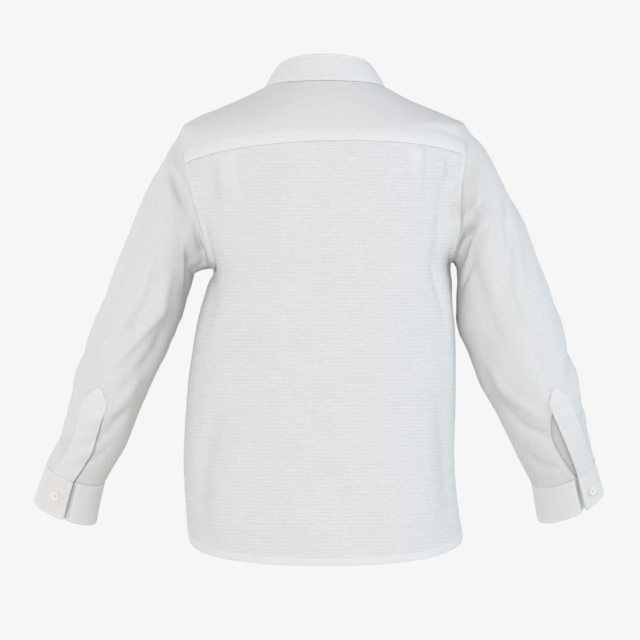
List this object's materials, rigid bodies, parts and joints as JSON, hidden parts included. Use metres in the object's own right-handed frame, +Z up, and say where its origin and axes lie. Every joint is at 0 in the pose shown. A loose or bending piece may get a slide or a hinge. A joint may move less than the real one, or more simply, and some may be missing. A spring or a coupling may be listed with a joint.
{
  "type": "long-sleeve shirt",
  "caption": "Child's long-sleeve shirt with a band collar, back yoke, buttoned front and buttoned cuffs, filled out as it is when worn.",
  "frame": {"origin": "middle of the neck seam, inside the collar, where the wearer's neck and shoulders hold the shirt", "axes": "+Z up, the buttoned front faces -Y and the back +Y, the wearer's left sleeve is at +X"},
  "size_m": [0.6419, 0.2008, 0.55],
  "materials": {
    "collar_cloth": "matt woven cotton, white",
    "yoke_cloth": "matt woven cotton, white",
    "back_cloth": "matt slub woven cotton, white",
    "front_left_cloth": "matt slub woven cotton, white",
    "front_right_cloth": "matt slub woven cotton, white",
    "front_strip_cloth": "matt woven cotton, white",
    "sleeve_cloth_left": "matt woven cotton, white",
    "sleeve_cloth_right": "matt woven cotton, white",
    "sleeve_strip_cloth_left": "matt woven cotton, white",
    "sleeve_strip_cloth_right": "matt woven cotton, white",
    "cuff_cloth_left": "matt woven cotton, white",
    "cuff_cloth_right": "matt woven cotton, white",
    "cuff_button_left": "satin cream",
    "cuff_button_right": "satin cream",
    "button": "satin cream"
  },
  "bodies": {
    "root": {"collar_band": "collar_cloth", "back_yoke": "yoke_cloth", "back_panel": "back_cloth", "front_left": "front_left_cloth", "front_right": "front_right_cloth", "front_placket": "front_strip_cloth", "sleeve_left": "sleeve_cloth_left", "sleeve_right": "sleeve_cloth_right", "sleeve_placket_left": "sleeve_strip_cloth_left", "sleeve_placket_right": "sleeve_strip_cloth_right", "cuff_left": "cuff_cloth_left", "cuff_right": "cuff_cloth_right", "cuff_button_left": "cuff_button_left", "cuff_button_right": "cuff_button_right", "collar_button": "button", "front_button_1": "button", "front_button_2": "button", "front_button_3": "button", "front_button_4": "button", "front_button_5": "button", "front_button_6": "button"}
  },
  "joints": []
}
